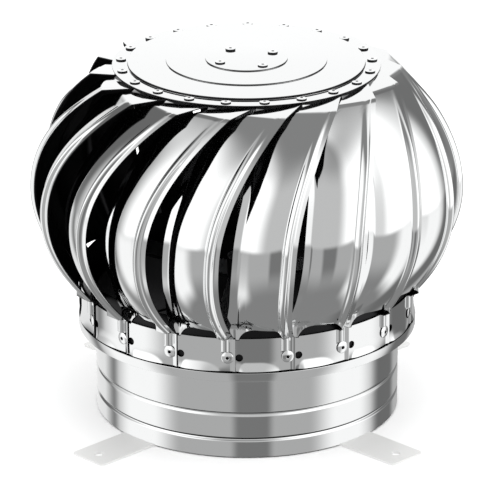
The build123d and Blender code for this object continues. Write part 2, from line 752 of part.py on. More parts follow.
def main():
    os.makedirs("parts", exist_ok=True)
    write("neck_duct", neck_duct())
    write("collar_ring", collar_ring())
    one_foot = foot()
    for name, angle in FOOT_ANGLES.items():
        write(name, at_angle(one_foot, angle))
    for name, plate_z in BRACKET_PLATES.items():
        write(name, cross_bracket(plate_z))
    write("shaft", shaft())
    write("shaft_nuts", nuts())
    write("shaft_washers", washers())
    write("bearing_inner_race", inner_race())
    write("bearing_outer_race", outer_race())
    write("bearing_shields", shields())
    write("bearing_balls", balls())
    write("bearing_cage", cage())
    write("shaft_circlip", shaft_circlip())
    write("housing_circlip", housing_circlip())
    write("bearing_housing", bearing_housing())
    write("top_cap", top_cap())
    write("clamp_ring", clamp_ring())
    write("band_ring", band_ring())
    write("lower_spider", lower_spider())
    write("lower_bush", lower_bush())
    write("rim_rivets", rim_rivets())
    write("hub_rivets", hub_rivets())
    write("band_rivets", band_rivets())
    one_blade = blade()
    holes = rim_drill()
    for number in range(BLADE_COUNT):
        turned_blade = at_angle(one_blade, blade_angle(number)) - holes
        write(f"blade_{number + 1:02d}", turned_blade)


main()
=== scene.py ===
import math

import bmesh
import bpy
import numpy as np
from mathutils import Matrix, Vector


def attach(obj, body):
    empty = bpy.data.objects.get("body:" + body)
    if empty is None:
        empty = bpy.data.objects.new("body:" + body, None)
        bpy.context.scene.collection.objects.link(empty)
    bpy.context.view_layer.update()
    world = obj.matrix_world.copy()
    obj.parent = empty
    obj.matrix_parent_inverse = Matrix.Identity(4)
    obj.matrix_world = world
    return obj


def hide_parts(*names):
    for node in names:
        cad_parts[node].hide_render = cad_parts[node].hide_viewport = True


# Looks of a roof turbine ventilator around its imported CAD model.
# Lengths in the constants are millimetres; MM turns them to the scene's metres.
# Angles round the axis are in degrees from the front, growing towards +X, as in the CAD source.
MM = 0.001
WELD = 1e-7  # metres within which two points of a piece are one

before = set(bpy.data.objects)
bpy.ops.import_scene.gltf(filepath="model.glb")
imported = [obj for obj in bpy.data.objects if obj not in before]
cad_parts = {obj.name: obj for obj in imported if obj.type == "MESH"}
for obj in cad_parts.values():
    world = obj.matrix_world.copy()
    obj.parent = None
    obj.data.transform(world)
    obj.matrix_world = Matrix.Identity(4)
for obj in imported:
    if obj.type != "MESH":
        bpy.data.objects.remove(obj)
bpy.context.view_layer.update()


# Camera at the photograph's viewing angle: its place and its angles down, aside and in roll
CAMERA_Y, CAMERA_Z = -2490.0, 1050.5
CAMERA_PITCH, CAMERA_YAW, CAMERA_ROLL = 20.78, 0.044, -0.12
CAMERA_LENS, CAMERA_SENSOR = 291.4, 36.0
CLIP_NEAR, CLIP_FAR = 50.0, 60000.0


def photo_camera():
    """Camera that looks at the front from above: pitch down, a hair of yaw and of roll."""
    pitch, yaw, roll = (math.radians(a) for a in (CAMERA_PITCH, CAMERA_YAW, CAMERA_ROLL))
    ahead = Vector((0, math.cos(pitch), -math.sin(pitch)))
    up = Vector((0, math.sin(pitch), math.cos(pitch)))
    right = Vector((1, 0, 0))
    view = math.cos(yaw) * ahead + math.sin(yaw) * right
    side = math.cos(yaw) * right - math.sin(yaw) * ahead
    camera_right = math.cos(roll) * side + math.sin(roll) * up
    camera_up = math.cos(roll) * up - math.sin(roll) * side
    data = bpy.data.cameras.new("photo_camera")
    data.lens = CAMERA_LENS
    data.sensor_width = CAMERA_SENSOR
    data.clip_start = CLIP_NEAR * MM
    data.clip_end = CLIP_FAR * MM
    camera = bpy.data.objects.new("photo_camera", data)
    turn = Matrix((camera_right, camera_up, -view)).transposed().to_4x4()
    camera.matrix_world = Matrix.Translation((0, CAMERA_Y * MM, CAMERA_Z * MM)) @ turn
    bpy.context.scene.collection.objects.link(camera)
    bpy.context.scene.camera = camera


photo_camera()


# Materials
def linear(hex_colour):
    """sRGB hex to linear RGBA: c / 12.92 up to 0.04045, ((c + 0.055) / 1.055) ** 2.4 above."""
    parts = [int(hex_colour[k:k + 2], 16) / 255 for k in (1, 3, 5)]
    return [c / 12.92 if c <= 0.04045 else ((c + 0.055) / 1.055) ** 2.4 for c in parts] + [1.0]


def add(tree, kind, settings=None, inputs=None, links=None):
    """Adds a node, sets its attributes and input values, and links other nodes' sockets to it."""
    node = tree.nodes.new(kind)
    for name, value in (settings or {}).items():
        setattr(node, name, value)
    for name, value in (inputs or {}).items():
        node.inputs[name].default_value = value
    for name, socket in (links or {}).items():
        tree.links.new(socket, node.inputs[name])
    return node


def new_material(name, colour):
    """A material, its node tree and its Principled shader set to one colour."""
    material = bpy.data.materials.new(name)
    material.use_nodes = True
    tree = material.node_tree
    shader = tree.nodes["Principled BSDF"]
    shader.inputs["Base Color"].default_value = linear(colour)
    return material, tree, shader


def metal(name, colour, roughness, haze, grain_mm, wave_mm, wave_depth_mm, squeeze=(1, 1, 1)):
    """Bare metal: its reflectance, roughness with a haze of the given spread, and a faint wave.

    grain_mm is the size of the haze's patches, wave_mm the length of the sheet's waves and
    wave_depth_mm their height; squeeze presses the haze along an axis into bands across it, as
    rolling and turning leave them. Real grain is far finer than a pixel, so the haze is drawn
    coarser, in patches of millimetres.
    """
    material, tree, shader = new_material(name, colour)
    shader.inputs["Metallic"].default_value = 1.0
    place = add(tree, "ShaderNodeTexCoord").outputs["Object"]
    drawn = add(
        tree, "ShaderNodeMapping", inputs={"Scale": squeeze}, links={"Vector": place}
    ).outputs["Vector"]
    patches = add(
        tree,
        "ShaderNodeTexNoise",
        inputs={"Scale": 1 / (grain_mm * MM), "Detail": 4.0, "Roughness": 0.6},
        links={"Vector": drawn},
    )
    spread = add(
        tree,
        "ShaderNodeMapRange",
        inputs={
            "From Min": 0.3,
            "From Max": 0.7,
            "To Min": roughness - haze,
            "To Max": roughness + haze,
        },
        links={"Value": patches.outputs["Fac"]},
    )
    tree.links.new(spread.outputs["Result"], shader.inputs["Roughness"])
    waves = add(
        tree,
        "ShaderNodeTexNoise",
        inputs={"Scale": 1 / (wave_mm * MM), "Detail": 1.0},
        links={"Vector": place},
    )
    bump = add(
        tree,
        "ShaderNodeBump",
        inputs={"Strength": 1.0, "Distance": wave_depth_mm * MM},
        links={"Height": waves.outputs["Fac"]},
    )
    tree.links.new(bump.outputs["Normal"], shader.inputs["Normal"])
    return material


# Stainless sheet 1.4301, mechanically mirror polished: sharp reflections, a neutral white
MIRROR = metal("mirror_polished_stainless", "#E8E9E9", 0.045, 0.015, 30, 34, 0.05)
# Inner faces, cut edges and step walls: dull as rolled sheet, and painted near black as shade,
# standing in for the shade inside and in the gaps
ROLLED = metal("painted_shade_dull_stainless", "#2A2A2B", 0.42, 0.05, 6, 40, 0.05, (1, 1, 6))
# Bracket, spider and clamp ring sheet with a plain pickled finish
PICKLED = metal("pickled_stainless_sheet", "#56575A", 0.38, 0.06, 5, 30, 0.04)
# The feet's satin blasted sheet: very pale, without a sharp reflection. Blasting scatters most
# of the light, so three quarters of it are drawn as matt
SATIN = metal("satin_stainless_foot", "#E6E6E5", 0.5, 0.05, 4, 30, 0.03)
SATIN.node_tree.nodes["Principled BSDF"].inputs["Metallic"].default_value = 0.25
# Pressed rivet heads of stainless wire: bright, a little softer than the polished sheet
RIVET = metal("bright_rivet_steel", "#EDEEEE", 0.12, 0.03, 2, 6, 0.02)
# Painted shade on the rivets: the heads' low sides and the broken mandrel ends and walls in their
# holes are near black, standing in for the shade round and in the heads
MANDREL = metal("rivet_painted_shade_steel", "#2E2E2F", 0.45, 0.05, 1, 3, 0.02)
# Ground bearing and turned shaft steel
TURNED = metal("turned_shaft_steel", "#A9AAAB", 0.22, 0.05, 3, 30, 0.01, (1, 1, 12))
GROUND = metal("ground_bearing_steel", "#C4C5C7", 0.12, 0.03, 3, 20, 0.01)
# Phosphated spring steel of the circlips
PHOSPHATED = metal("phosphated_spring_steel", "#2B2C2E", 0.5, 0.08, 2, 10, 0.02)


ACETAL_IOR = 1.48
SATIN_GRAIN, SATIN_DEPTH = 0.6, 0.02  # drawn coarser than the real grain of a moulding tool


def moulded(name, colour, roughness):
    """Moulded plastic: a plain colour with a fine satin grain."""
    material, tree, shader = new_material(name, colour)
    shader.inputs["Roughness"].default_value = roughness
    shader.inputs["IOR"].default_value = ACETAL_IOR
    place = add(tree, "ShaderNodeTexCoord").outputs["Object"]
    grain = add(
        tree,
        "ShaderNodeTexNoise",
        inputs={"Scale": 1 / (SATIN_GRAIN * MM)},
        links={"Vector": place},
    )
    bump = add(
        tree,
        "ShaderNodeBump",
        inputs={"Distance": SATIN_DEPTH * MM},
        links={"Height": grain.outputs["Fac"]},
    )
    tree.links.new(bump.outputs["Normal"], shader.inputs["Normal"])
    return material


# Guide bush of moulded acetal, off-white and satin
ACETAL = moulded("moulded_acetal", "#D9D6CC", 0.4)


# Surfaces
def mesh_piece(name, shells, materials, sharp=32.0):
    """One object from shells of (points, faces, material index per face).

    Points that fall together are joined, and edges that bend by more than sharp stay crisp.
    """
    points, faces, index = [], [], []
    start = 0
    for shell_points, shell_faces, shell_index in shells:
        points.append(shell_points)
        faces.append(shell_faces + start)
        index.append(np.broadcast_to(shell_index, len(shell_faces)))
        start += len(shell_points)
    points = np.concatenate(points) * MM
    faces = np.concatenate(faces)
    index = np.concatenate(index)
    mesh = bpy.data.meshes.new(name)
    mesh.vertices.add(len(points))
    mesh.vertices.foreach_set("co", points.astype(np.float32).ravel())
    mesh.loops.add(faces.size)
    mesh.loops.foreach_set("vertex_index", faces.astype(np.int32).ravel())
    mesh.polygons.add(len(faces))
    mesh.polygons.foreach_set("loop_start", np.arange(0, faces.size, 4, dtype=np.int32))
    mesh.polygons.foreach_set("material_index", index.astype(np.int32))
    for material in materials:
        mesh.materials.append(material)
    mesh.update(calc_edges=True)
    welded = bmesh.new()
    welded.from_mesh(mesh)
    bmesh.ops.remove_doubles(welded, verts=welded.verts, dist=WELD)
    loose = [vertex for vertex in welded.verts if not vertex.link_faces]
    bmesh.ops.delete(welded, geom=loose, context="VERTS")
    welded.to_mesh(mesh)
    welded.free()
    mesh.shade_smooth()
    mesh.set_sharp_from_angle(angle=math.radians(sharp))
    piece = bpy.data.objects.new(name, mesh)
    bpy.context.scene.collection.objects.link(piece)
    return piece


def grid_faces(rows, columns, wrap_rows=False, wrap_columns=False):
    """Quads between neighbouring points of a rows by columns grid, closed round where asked."""
    i = np.arange(rows if wrap_rows else rows - 1)
    j = np.arange(columns if wrap_columns else columns - 1)
    i, j = np.meshgrid(i, j, indexing="ij")
    below, right = (i + 1) % rows, (j + 1) % columns
    corners = [i * columns + j, i * columns + right, below * columns + right, below * columns + j]
    return np.stack([c.ravel() for c in corners], axis=1)


def turned_shell(profile, steps, index=0):
    """A closed outline of (radius, height) carried round the axis.

    x = r sin a, y = -r cos a and z = h, in mm. The outline runs anticlockwise seen with the
    radius to the right and the height up. It may start and end on the axis, where the points
    of all steps fall together.
    """
    profile = np.asarray(profile, float)
    angle = np.linspace(0, 2 * np.pi, steps, endpoint=False)[:, None]
    radius, height = profile[None, :, 0], profile[None, :, 1]
    points = np.stack(
        np.broadcast_arrays(radius * np.sin(angle), -radius * np.cos(angle), height), axis=-1
    )
    faces = grid_faces(steps, len(profile), wrap_rows=True, wrap_columns=True)[:, ::-1]
    return points.reshape(-1, 3), faces, index


def rounded(profile, radius, steps=3, keep=()):
    """A closed outline with each corner replaced by a short curve that starts radius before it.

    The curve is (1 - t)^2 A + 2 t (1 - t) corner + t^2 B, with A and B on the two sides, each
    at most 0.45 of its side away. Corners whose numbers are in keep stay sharp.
    """
    profile = np.asarray(profile, float)
    out = []
    for k, corner in enumerate(profile):
        if k in keep:
            out.append(corner[None])
            continue
        before = profile[k - 1] - corner
        after = profile[(k + 1) % len(profile)] - corner
        reach = min(radius, 0.45 * np.hypot(*before), 0.45 * np.hypot(*after))
        start = corner + before / np.hypot(*before) * reach
        end = corner + after / np.hypot(*after) * reach
        t = np.linspace(0, 1, steps + 1)[:, None]
        out.append((1 - t) ** 2 * start + 2 * t * (1 - t) * corner + t**2 * end)
    return np.concatenate(out)


def turn(points, angle):
    """Turns points round the axis by an angle in degrees."""
    a = math.radians(angle)
    matrix = np.array([[math.cos(a), -math.sin(a), 0], [math.sin(a), math.cos(a), 0], [0, 0, 1]])
    return points @ matrix.T


def sheet_shell(outer, thickness, front, back, rim, gone=None):
    """Closed shell from a grid of outer points, its inner face thickness behind the outer one.

    The normal at a point is the cross product of the grid's two directions there. The faces
    that gone marks are left out. The two sides are joined by a strip along every open edge.
    front, back and rim are the material numbers of the two sides and of the cut edges.
    """
    rows, columns = outer.shape[:2]
    along_rows = np.gradient(outer, axis=0)
    along_columns = np.gradient(outer, axis=1)
    normal = np.cross(along_columns, along_rows)
    normal /= np.linalg.norm(normal, axis=-1, keepdims=True)
    inner = outer - thickness * normal
    count = rows * columns
    front_faces = grid_faces(rows, columns)
    if gone is not None:
        front_faces = front_faces[~gone.ravel()]
    back_faces = front_faces[:, ::-1] + count
    start, end = front_faces.ravel(), np.roll(front_faces, -1, axis=1).ravel()
    is_open = ~np.isin(start * count + end, end * count + start)
    start, end = start[is_open], end[is_open]
    rim_faces = np.stack([end, start, start + count, end + count], axis=1)
    faces = np.concatenate([front_faces, back_faces, rim_faces])
    index = np.repeat([front, back, rim], [len(front_faces), len(back_faces), len(rim_faces)])
    points = np.concatenate([outer.reshape(-1, 3), inner.reshape(-1, 3)])
    return points, faces, index


# Turned sheet pieces: neck, gutter, band ring and cap
ROUND_STEPS = 256
DUCT_R, DUCT_SHEET = 100.0, 0.8
NECK_BOTTOM, NECK_TOP = 0.9, 79.5
# Each groove's middle height and depth, and the heights between which its upper flank is painted
# near black as shade
GROOVES, GROOVE_HALF_WIDTH = ((13.0, 1.1), (30.5, 0.7)), 1.7
GROOVE_SHADE = ((13.1, 14.5), (31.4, 31.9))


def neck_outline():
    """Duct wall with two grooves rolled inwards.

    The radius falls by depth (1 + cos(pi h / half width)) / 2, with h from the groove's middle.
    """
    flanks = np.linspace(-GROOVE_HALF_WIDTH, GROOVE_HALF_WIDTH, 17)
    height = np.linspace(NECK_BOTTOM, NECK_TOP, 40)
    height = np.unique(np.concatenate([height] + [middle + flanks for middle, _ in GROOVES]))
    wall = np.full(len(height), DUCT_R)
    for middle, depth in GROOVES:
        share = np.clip((height - middle) / GROOVE_HALF_WIDTH, -1, 1)
        wall -= depth * (1 + np.cos(np.pi * share)) / 2
    outer = np.stack([wall, height], axis=1)
    inner = np.stack([wall - DUCT_SHEET, height], axis=1)
    return np.concatenate([outer, inner[::-1]])


GUTTER_R, GUTTER_BOTTOM, GUTTER_LIP, WELD_TOP = 111.3, 57.8, 63.7, 66.0
GUTTER = [
    (DUCT_R, GUTTER_BOTTOM),
    (GUTTER_R, GUTTER_BOTTOM),
    (GUTTER_R, GUTTER_LIP),
    (GUTTER_R - DUCT_SHEET, GUTTER_LIP),
    (GUTTER_R - DUCT_SHEET, GUTTER_BOTTOM + DUCT_SHEET),
    (DUCT_R + DUCT_SHEET, GUTTER_BOTTOM + DUCT_SHEET),
    (DUCT_R + DUCT_SHEET, WELD_TOP),
    (DUCT_R, WELD_TOP),
]
# The hoop stands up behind the openings above the band: the photo shows no light through them. All
# of it is painted near black as shade
RING_R, RING_SHEET, RING_BOTTOM, RING_TOP = 108.7, 0.7, 60.8, 98.0
RING = [
    (RING_R - RING_SHEET, RING_BOTTOM),
    (RING_R, RING_BOTTOM),
    (RING_R, RING_TOP),
    (RING_R - RING_SHEET, RING_TOP),
]
# The cap's rim, and the radius and top of each of its three steps
CAP_SHEET, RIM_R, RIM_Z = 0.8, 87.0, 235.2
CAP_STEPS = ((76.9, 236.9), (52.1, 237.8), (26.6, 238.7))
CAP_CORNER, GUTTER_CORNER, HOOP_CORNER = 0.35, 0.3, 0.2
LOOKS_UP = 0.6  # height share of a normal from which a face of the cap counts as an upper one


def cap_outline():
    """Cap from the axis out along its underside, round the rim and back over the three steps."""
    lower, upper = [(0.0, CAP_STEPS[-1][1] - CAP_SHEET)], [(0.0, CAP_STEPS[-1][1])]
    floors = [RIM_Z] + [z for _, z in CAP_STEPS]
    for (radius, top), floor in reversed(list(zip(CAP_STEPS, floors))):
        upper += [(radius, top), (radius, floor)]
        lower += [(radius - CAP_SHEET, top - CAP_SHEET), (radius - CAP_SHEET, floor - CAP_SHEET)]
    lower.append((RIM_R, RIM_Z - CAP_SHEET))
    upper.append((RIM_R, RIM_Z))
    outline = lower + upper[::-1]
    return rounded(outline, CAP_CORNER, keep=(0, len(outline) - 1))


def turned_piece(name, profile, polished, body, node):
    """A turned sheet piece that stands for one CAD node.

    polished is a function of each outline segment's middle (radius, height) and its outward
    normal. It tells which segments are mirror polished; the others take the dull sheet painted
    near black as shade, and without a function all of them do.
    """
    profile = np.asarray(profile, float)
    along = np.roll(profile, -1, axis=0) - profile
    length = np.maximum(np.hypot(*along.T), WELD)
    normal = np.stack([along[:, 1], -along[:, 0]], axis=1) / length[:, None]
    bright = polished(profile + along / 2, normal) if polished else np.zeros(len(profile), bool)
    shell = turned_shell(profile, ROUND_STEPS, np.tile((~bright).astype(int), ROUND_STEPS))
    piece = mesh_piece(name, [shell], [MIRROR, ROLLED])
    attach(piece, body)
    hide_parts(node)


def outer_side(middle, normal):
    """The faces that look away from the axis."""
    return normal[:, 0] > 0


def outside_the_grooves(middle, normal):
    """The outer faces but the grooves' upper flanks, which take the near-black painted shade."""
    shaded = np.zeros(len(middle), bool)
    for bottom, top in GROOVE_SHADE:
        shaded |= (middle[:, 1] > bottom) & (middle[:, 1] < top)
    return (normal[:, 0] > 0) & ~shaded


def upper_side(middle, normal):
    """The faces that look up: the cap's underside and the walls of its low steps take the
    near-black painted shade.
    """
    return normal[:, 1] > LOOKS_UP


turned_piece("grooved_neck", neck_outline(), outside_the_grooves, "base", "neck_duct")
GUTTER_OUTLINE, HOOP_OUTLINE = rounded(GUTTER, GUTTER_CORNER), rounded(RING, HOOP_CORNER)
turned_piece("rain_gutter", GUTTER_OUTLINE, outer_side, "base", "collar_ring")
# the hoop has no polished face: all of it takes the painted shade
turned_piece("band_hoop", HOOP_OUTLINE, None, "rotor", "band_ring")
turned_piece("stepped_cap", cap_outline(), upper_side, "rotor", "top_cap")


# Rivets
RIVET_STEPS, RIVET_RISE = 28, 0.35
BEVEL_WIDTH, BEVEL_DROP = 0.15, 0.1  # round the mandrel's hole


def rivet_shell(head_r, hole_r, depth, side_share):
    """Domed blind rivet head on z 0 with the mandrel's hole.

    The head rises by 0.35 of its radius, side_share of that in an upright side, and above it
    h = side + (rise - side) (1 - (r / head radius)^2) ^ 0.8. The underside is flat, and the
    hole's wall goes straight down to the broken mandrel end. The side and the hole's wall and
    floor take the second material, painted near black as shade.
    """
    rise = RIVET_RISE * head_r
    side = side_share * rise
    radius = np.linspace(head_r, hole_r + BEVEL_WIDTH, 9)
    dome = np.stack([radius, side + (rise - side) * (1 - (radius / head_r) ** 2) ** 0.8], axis=1)
    crown = dome[-1, 1]
    outline = np.concatenate(
        [
            [(0.0, 0.0), (head_r, 0.0)],
            dome,
            [(hole_r, crown - BEVEL_DROP), (hole_r, crown - depth), (0.0, crown - depth)],
        ]
    )
    points, faces, _ = turned_shell(outline, RIVET_STEPS)
    dark = np.zeros((RIVET_STEPS, len(outline)), int)
    dark[:, [1, -3, -2]] = 1
    return points, faces, dark.ravel()


def rivet_group(name, shell, places, node):
    """Copies of one rivet head at each place, a function that moves the head's points."""
    points, faces, index = shell
    piece = mesh_piece(name, [(place(points), faces, index) for place in places], [RIVET, MANDREL])
    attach(piece, "rotor")
    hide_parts(node)


def standing(radius, angle, height):
    """Moves a head to a place on top, its axis upright."""
    return lambda points: turn(points + [0, -radius, height], angle)


def facing_out(radius, angle, height):
    """Lays a head's axis along the outward direction and moves it to a place on the band."""
    return lambda points: turn(
        np.stack([points[:, 0], -radius - points[:, 2], height + points[:, 1]], axis=1), angle
    )


BLADE_COUNT, PITCH, FIRST_ANGLE = 18, 20.0, -6.5
# Each group's count, radius and first angle, or radius and height
RIM_COUNT, RIM_RIVET_R, RIM_FIRST = 21, 81.7, 179.4
HUB_COUNT, HUB_RIVET_R, HUB_FIRST = 4, 20.0, 31.5
BAND_RIVET_R, BAND_RIVET_Z = 109.94, 73.9
RIM_PLACES = [
    standing(RIM_RIVET_R, RIM_FIRST - 360 / RIM_COUNT * k, RIM_Z) for k in range(RIM_COUNT)
]
HUB_PLACES = [
    standing(HUB_RIVET_R, HUB_FIRST + 360 / HUB_COUNT * k, CAP_STEPS[-1][1])
    for k in range(HUB_COUNT)
]
BAND_PLACES = [
    facing_out(BAND_RIVET_R, FIRST_ANGLE + PITCH * k, BAND_RIVET_Z) for k in range(BLADE_COUNT)
]
CAP_HEAD = rivet_shell(head_r=3.25, hole_r=0.85, depth=0.9, side_share=0.75)
BAND_HEAD = rivet_shell(head_r=4.0, hole_r=1.1, depth=1.2, side_share=0.4)
rivet_group("rim_rivet_heads", CAP_HEAD, RIM_PLACES, "rim_rivets")
rivet_group("hub_rivet_heads", CAP_HEAD, HUB_PLACES, "hub_rivets")
rivet_group("band_rivet_heads", BAND_HEAD, BAND_PLACES, "band_rivets")


# Blades
# The free edge: its widest place, and above and below it the terms in h^2 and in h^3
WIDEST_X, WIDEST_R, WIDEST_Z, EDGE_SLOPE = -1.7, 139.0, 149.5, 0.0765
EDGE_X = ((0.00471, 0.0), (0.0013, -2.2e-5))
EDGE_Y = ((-0.005685, -1.3e-5), (-0.0073, 0.0))
BLADE_SHEET, TAB_SHEET = 0.7, 0.6
SECTION_POINTS, PANEL_ROWS = 96, 72
# The section's corners as (along, outward) from the free edge, and the middles of its arcs
STRIP_END, BEAD_FOOT, PANEL_BEND = (-3.5, 0.0), (-9.0, -1.0), (-28.5, -9.6)
LIP_START, LIP_END = (-33.0, -13.7), (-37.2, -15.1)
BEAD_X, BEAD_RISE, BEAD_SHOULDER, BEAD_SAG = (-5.225, -6.25, -7.275), 2.6, 0.82, 0.2
PANEL_MIDDLE, CROWN, CROWN_WAY = (-18.75, -5.3), 1.7, (-0.4, 0.9)
LINE_POINTS, MEAN_REACH = 500, 9
# The opening above the band: its top, its sides from the free edge and its corners
OPENING_TOP, OPENING_RIGHT, OPENING_LEFT = 94.0, -7.3, -33.0
RIGHT_CORNER, LEFT_CORNER = 5.0, 11.0
PANEL_FOOT, STRIP_FOOT = 85.9, 84.6
# Changes of the section, each between two heights: a longer and raised hem near the foot, a
# wider panel near the top, and the share of bead, crown and slope that fades towards the fold
HEM_LONGER, HEM_WAY, HEM_WIDTH, HEM_FADE = 3.5, (-0.87, -0.49), 8.5, (98, 125)
HEM_RAISE, RAISE_FADE = 0.36, (96, 126)
TOP_WIDER, WIDER_WAY, WIDER_FADE = 3.2, (-0.95, -0.3), (184, 212)
FOLD_Z, FADE_START = 230.6, 200
TOP_FLATTER, TOP_LEAN, TOP_TILT = 0.85, 0.6, 0.01
# The line where the panel's inner side is cut by the fold, and how far right it reaches
CUT_X, CUT_Y = (-30, -12, 4.9, 11.4), (92.0, 94.1, 93.4, 90.5)


def smooth(value, start, end):
    """0 below start, 1 above end, 3 t^2 - 2 t^3 between."""
    share = np.clip((value - start) / (end - start), 0, 1)
    return share * share * (3 - 2 * share)


def free_edge(z):
    """Along and outward place of the blade's free edge at a height.

    With h the height above the widest place, x = -1.7 + 0.0765 h + a h^2 + b h^3 and
    y = 139 + c h^2 + d h^3, with other a, b, c and d above the widest place than below.
    """
    h = z - WIDEST_Z
    x, y = (
        np.where(h > 0, above[0] * h**2 + above[1] * h**3, below[0] * h**2 + below[1] * h**3)
        for above, below in (EDGE_X, EDGE_Y)
    )
    return WIDEST_X + EDGE_SLOPE * h + x, WIDEST_R + y


def arc_through(a, b, c, t):
    """Points of the circle through a, b and c, each (rows, 2), at the shares t from a to c.

    The centre is as far from b and c as from a, and the angle runs evenly from a's to c's.
    """
    ab, ac = b - a, c - a
    d = 2 * (ab[:, 0] * ac[:, 1] - ab[:, 1] * ac[:, 0])
    ab2, ac2 = (ab**2).sum(1), (ac**2).sum(1)
    centre = a + np.stack(
        [(ac[:, 1] * ab2 - ab[:, 1] * ac2) / d, (ab[:, 0] * ac2 - ac[:, 0] * ab2) / d], axis=1
    )
    radius = np.linalg.norm(a - centre, axis=1)
    start = np.arctan2(*(a - centre).T[::-1])
    end = np.arctan2(*(c - centre).T[::-1])
    sweep = (end - start + np.pi) % (2 * np.pi) - np.pi
    angle = start[:, None] + sweep[:, None] * t
    return centre[:, None] + radius[:, None, None] * np.stack([np.cos(angle), np.sin(angle)], -1)


def section(swell):
    """The pressed section's outer side from the free edge inwards, as (rows, points, 2).

    A flat strip, two arcs for the bead, an arc for the crowned panel up to its bend, a straight
    slope and a flatter lip. swell (rows) scales the bead and the crown. The line is drawn with
    even points, and the mean of each with its neighbours on both sides rounds its corners.
    """
    rows = len(swell)
    one = np.ones(rows)

    def at(x, y):
        """The same point, or one with its own height, in every row."""
        return np.stack([x * one, y * one], axis=1)

    rise, crown = BEAD_RISE * swell, CROWN * swell
    right, middle, left = BEAD_X
    start, top, foot, bend = at(*STRIP_END), at(middle, rise), at(*BEAD_FOOT), at(*PANEL_BEND)
    hump = at(PANEL_MIDDLE[0] + CROWN_WAY[0] * crown, PANEL_MIDDLE[1] + CROWN_WAY[1] * crown)
    lip = at(*LIP_START)
    few, many = np.linspace(0, 1, 9), np.linspace(0, 1, 40)
    parts = [
        np.linspace(at(0, 0), start, 8, axis=1)[:, :-1],
        arc_through(start, at(right, BEAD_SHOULDER * rise), top, few)[:, :-1],
        arc_through(top, at(left, BEAD_SHOULDER * rise - BEAD_SAG), foot, few)[:, :-1],
        arc_through(foot, hump, bend, many)[:, :-1],
        np.linspace(bend, lip, 12, axis=1)[:, :-1],
        np.linspace(lip, at(*LIP_END), 9, axis=1),
    ]
    line = np.concatenate(parts, axis=1)
    step = np.linalg.norm(np.diff(line, axis=1), axis=2)
    length = np.concatenate([np.zeros((rows, 1)), np.cumsum(step, axis=1)], axis=1)
    fine = np.linspace(0, 1, LINE_POINTS)
    dense = np.stack(
        [
            np.stack([np.interp(fine * full[-1], full, part[:, k]) for k in (0, 1)], axis=1)
            for full, part in zip(length, line)
        ]
    )
    padded = np.concatenate(
        [
            2 * dense[:, :1] - dense[:, MEAN_REACH:0:-1],
            dense,
            2 * dense[:, -1:] - dense[:, -2:-MEAN_REACH - 2:-1],
        ],
        axis=1,
    )
    total = np.cumsum(np.concatenate([np.zeros((rows, 1, 2)), padded], axis=1), axis=1)
    width = 2 * MEAN_REACH + 1
    return (total[:, width:] - total[:, :-width]) / width


def panel_grid():
    """Outer face of the panel: the section carried up the free edge, cut to its free outlines.

    A point is edge(z) + section(u), its height z + tilt x. The lower outline is the opening's
    top with its two round corners; left of it a narrow strip hangs straight down to the tab.
    Near the foot the hem is longer and raised by a share of its length; near the top the panel
    is wider. On the inner side each row ends at the cut by the fold.
    """
    base = np.linspace(OPENING_TOP, FOLD_Z, PANEL_ROWS)
    top = smooth(base, FADE_START, FOLD_Z)
    line = section(1 - TOP_FLATTER * top)
    bend = PANEL_BEND[0]
    longer = HEM_LONGER * (1 - smooth(base, *HEM_FADE))[:, None]
    longer = longer * np.clip((bend - line[..., 0]) / HEM_WIDTH, 0, 1)
    line = line + longer[..., None] * np.array(HEM_WAY)
    wider = TOP_WIDER * smooth(base, *WIDER_FADE)[:, None]
    wider = wider * np.clip((BEAD_FOOT[0] - line[..., 0]) / (BEAD_FOOT[0] - bend), 0, 1)
    line = line + wider[..., None] * np.array(WIDER_WAY)
    raised = HEM_RAISE * (1 - smooth(base, *RAISE_FADE))[:, None]
    line[..., 1] += raised * np.clip(bend - line[..., 0], 0, None)
    u = np.linspace(0, 1, SECTION_POINTS)
    x_of_u = np.interp(u, np.linspace(0, 1, line.shape[1]), line[0, :, 0])
    right = np.clip(x_of_u - OPENING_RIGHT + RIGHT_CORNER, 0, RIGHT_CORNER)
    left = np.clip(OPENING_LEFT + LEFT_CORNER - x_of_u, 0, LEFT_CORNER)
    fall_right = RIGHT_CORNER - np.sqrt(RIGHT_CORNER**2 - right**2)
    low = OPENING_TOP - fall_right - LEFT_CORNER + np.sqrt(LEFT_CORNER**2 - left**2)
    low = np.where((x_of_u > OPENING_RIGHT) | (x_of_u < OPENING_LEFT), PANEL_FOOT, low)
    low = np.where(x_of_u < OPENING_LEFT, STRIP_FOOT, low)
    base = base[:, None]
    z = low + (base - OPENING_TOP) * (FOLD_Z - low) / (FOLD_Z - OPENING_TOP)
    rows = np.arange(PANEL_ROWS)[:, None]
    lean = 1 - TOP_LEAN * top[:, None]
    tilt = TOP_TILT * top[:, None]
    edge_x, edge_y = free_edge(base)
    fine_x, fine_y = edge_x + line[..., 0], edge_y + lean * line[..., 1]
    cut_y = np.interp(fine_x, CUT_X, CUT_Y)
    cut = (fine_y < cut_y) & (fine_x < CUT_X[-1]) & (base > FADE_START)
    last = np.where(cut.any(1), cut.argmax(1), line.shape[1] - 1)
    last = np.minimum.accumulate(last)
    kernel = np.array([1, 2, 1]) / 4
    last = np.concatenate([last[:1], np.convolve(last, kernel, "valid"), last[-1:]])
    place = u[None] * last[:, None]
    before = np.clip(np.floor(place).astype(int), 0, line.shape[1] - 2)
    part = (place - before)[..., None]
    picked = line[rows, before] * (1 - part) + line[rows, before + 1] * part
    hanging = x_of_u < OPENING_RIGHT
    edge_x, edge_y = free_edge(np.where(hanging, np.maximum(z, OPENING_TOP), z))
    x = edge_x + picked[..., 0]
    y = edge_y + lean * picked[..., 1]
    return np.stack([x, -y, z + tilt * picked[..., 0]], axis=-1)


